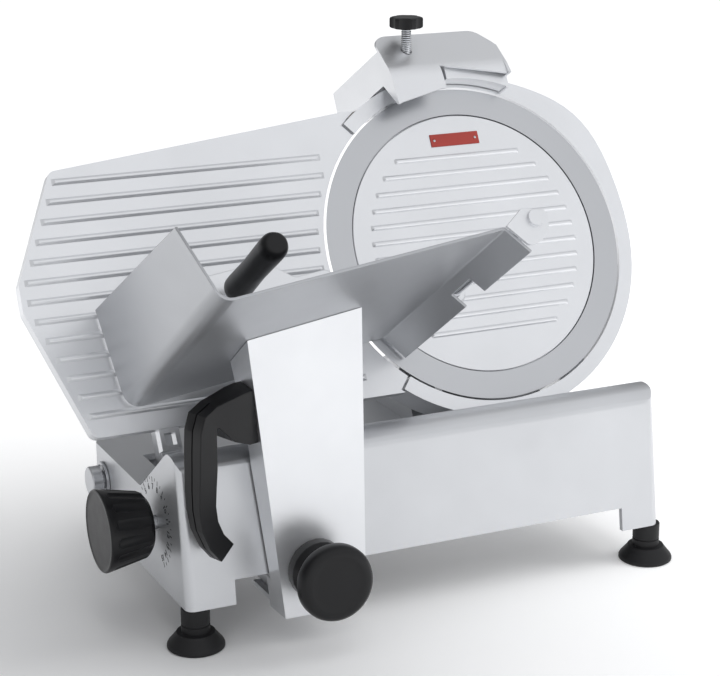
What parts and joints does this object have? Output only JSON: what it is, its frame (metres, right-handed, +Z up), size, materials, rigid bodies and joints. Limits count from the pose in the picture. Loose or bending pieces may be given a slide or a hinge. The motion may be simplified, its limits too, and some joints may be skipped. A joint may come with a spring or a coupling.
{
  "type": "meat slicer",
  "caption": "Gravity-feed slicer: a tilted round blade, a gauge plate set by a dial, and a tray on a sliding carriage with a pusher.",
  "frame": {"origin": "middle of the part's footprint on the table", "axes": "+X along the carriage's travel towards the blade, -Y faces the person who uses it, +Z up"},
  "size_m": [0.6038, 0.4718, 0.4874],
  "materials": {
    "casting": "satin cast",
    "plate": "anodised",
    "steel": "ground",
    "chrome": "polished",
    "black": "satin moulded",
    "rubber": "matt",
    "stone": "abrasive stone",
    "bronze": "turned",
    "enamel": "enamelled"
  },
  "bodies": {
    "base": {"base_casting": "casting", "carriage_rail": "chrome", "guide_bar": "steel", "bottom_cover": "steel", "foot_front_left": "rubber", "foot_front_left_stud": "steel", "foot_front_right": "rubber", "foot_front_right_stud": "steel", "foot_rear_left": "rubber", "foot_rear_left_stud": "steel", "foot_rear_right": "rubber", "foot_rear_right_stud": "steel", "power_inlet": "black", "motor_capacitor": "enamel", "switch_bezel": "steel", "switch_body": "black", "blade_guard": "plate", "bearing_front": "steel", "bearing_rear": "steel", "blade_cover": "plate", "cover_tie_rod": "steel", "drive_belt": "rubber", "belt_cover": "casting", "motor": "enamel", "gauge_rod": "chrome", "sharpener_post": "chrome"},
    "carriage": {"slide_block": "casting", "slide_bush_left": "bronze", "slide_bush_right": "bronze", "column": "plate", "tray": "plate", "grip_handle": "black", "lock_collar": "black", "rod_bracket_front": "plate", "rod_bracket_rear": "plate", "pusher_rod": "chrome"},
    "guide_roller": {"guide_roller": "steel"},
    "pusher_slider": {"pusher_bush": "bronze"},
    "pusher": {"pusher_arm": "casting", "pusher_plate": "plate", "pusher_stem": "chrome", "pusher_handle": "black"},
    "lock": {"lock_knob": "black", "lock_ring": "chrome"},
    "gauge": {"gauge_plate": "plate", "gauge_bracket": "casting"},
    "dial": {"thickness_knob": "black", "thickness_shaft": "steel", "thickness_cam": "bronze"},
    "blade": {"blade": "steel", "blade_shaft": "steel"},
    "motor_rotor": {"motor_pulley": "steel"},
    "cover_knob": {"cover_knob": "black"},
    "switch_button": {"switch_button": "steel"},
    "sharpener": {"sharpener_body": "plate"},
    "clamp_knob": {"clamp_knob": "black"},
    "grinding_button": {"grinding_button": "black"},
    "grinding_stone": {"grinding_stone": "stone"},
    "honing_button": {"honing_button": "black"},
    "honing_stone": {"honing_stone": "stone"}
  },
  "joints": [
    {"name": "carriage_slide", "type": "slide", "parent": "base", "child": "carriage", "axis": [1, 0, 0], "range_m": [-0.028, 0.262]},
    {"name": "guide_roller_spin", "type": "hinge", "parent": "carriage", "child": "guide_roller", "pos_m": [-0.09342, -0.02035, 0.0663], "axis": [0, 1, 0], "range_deg": [-201, 1877]},
    {"name": "pusher_slide", "type": "slide", "parent": "carriage", "child": "pusher_slider", "axis": [0, -0.8271, 0.5621], "range_m": [-0.04, 0.15]},
    {"name": "pusher_swing", "type": "hinge", "parent": "pusher_slider", "child": "pusher", "pos_m": [0.04723, 0.00602, 0.2206], "axis": [0, 0.8271, -0.5621], "range_deg": [0, 110]},
    {"name": "lock_turn", "type": "hinge", "parent": "carriage", "child": "lock", "pos_m": [-0.10692, -0.13229, 0.068], "axis": [0, -0.9987, 0.0506], "range_deg": [0, 360]},
    {"name": "gauge_slide", "type": "slide", "parent": "base", "child": "gauge", "axis": [0, 0.8763, -0.4818], "range_m": [0, 0.015]},
    {"name": "thickness_turn", "type": "hinge", "parent": "base", "child": "dial", "pos_m": [-0.21392, -0.03435, 0.092], "axis": [1, 0, 0], "range_deg": [0, 301]},
    {"name": "blade_spin", "type": "hinge", "parent": "base", "child": "blade", "pos_m": [0.13608, 0.04165, 0.286], "axis": [0, -0.8763, 0.4818], "continuous": true},
    {"name": "motor_spin", "type": "hinge", "parent": "base", "child": "motor_rotor", "pos_m": [0.13608, -0.01712, 0.17909], "axis": [0, -0.8763, 0.4818], "continuous": true},
    {"name": "cover_knob_turn", "type": "hinge", "parent": "base", "child": "cover_knob", "pos_m": [0.13608, 0.04165, 0.286], "axis": [0, 0.8763, -0.4818], "range_deg": [0, 360]},
    {"name": "switch_press", "type": "slide", "parent": "base", "child": "switch_button", "axis": [1, 0, 0], "range_m": [0, 0.003], "stiffness_N_per_m": 600, "springref_m": -0.002},
    {"name": "sharpener_lift", "type": "slide", "parent": "base", "child": "sharpener", "axis": [0, 0.4818, 0.8763], "range_m": [0, 0.025]},
    {"name": "clamp_turn", "type": "hinge", "parent": "sharpener", "child": "clamp_knob", "pos_m": [0.10208, 0.12293, 0.45585], "axis": [0, 0, 1], "range_deg": [0, 360]},
    {"name": "grinding_press", "type": "slide", "parent": "sharpener", "child": "grinding_button", "axis": [0, -0.8763, 0.4818], "range_m": [0, 0.005], "stiffness_N_per_m": 400, "springref_m": -0.003},
    {"name": "honing_press", "type": "slide", "parent": "sharpener", "child": "honing_button", "axis": [0, -0.8763, 0.4818], "range_m": [0, 0.005], "stiffness_N_per_m": 400, "springref_m": -0.003},
    {"name": "grinding_stone_spin", "type": "hinge", "parent": "grinding_button", "child": "grinding_stone", "pos_m": [0.09408, 0.12355, 0.43497], "axis": [0, -0.8763, 0.4818], "continuous": true},
    {"name": "honing_stone_spin", "type": "hinge", "parent": "honing_button", "child": "honing_stone", "pos_m": [0.14608, 0.12355, 0.43497], "axis": [0, -0.8763, 0.4818], "continuous": true}
  ],
  "couplings": [
    {"joint": "guide_roller_spin", "follows": "carriage_slide", "rad_per_m": 125},
    {"joint": "thickness_turn", "follows": "gauge_slide", "rad_per_m": 349.07},
    {"joint": "motor_spin", "follows": "blade_spin", "ratio": 2.9412}
  ]
}
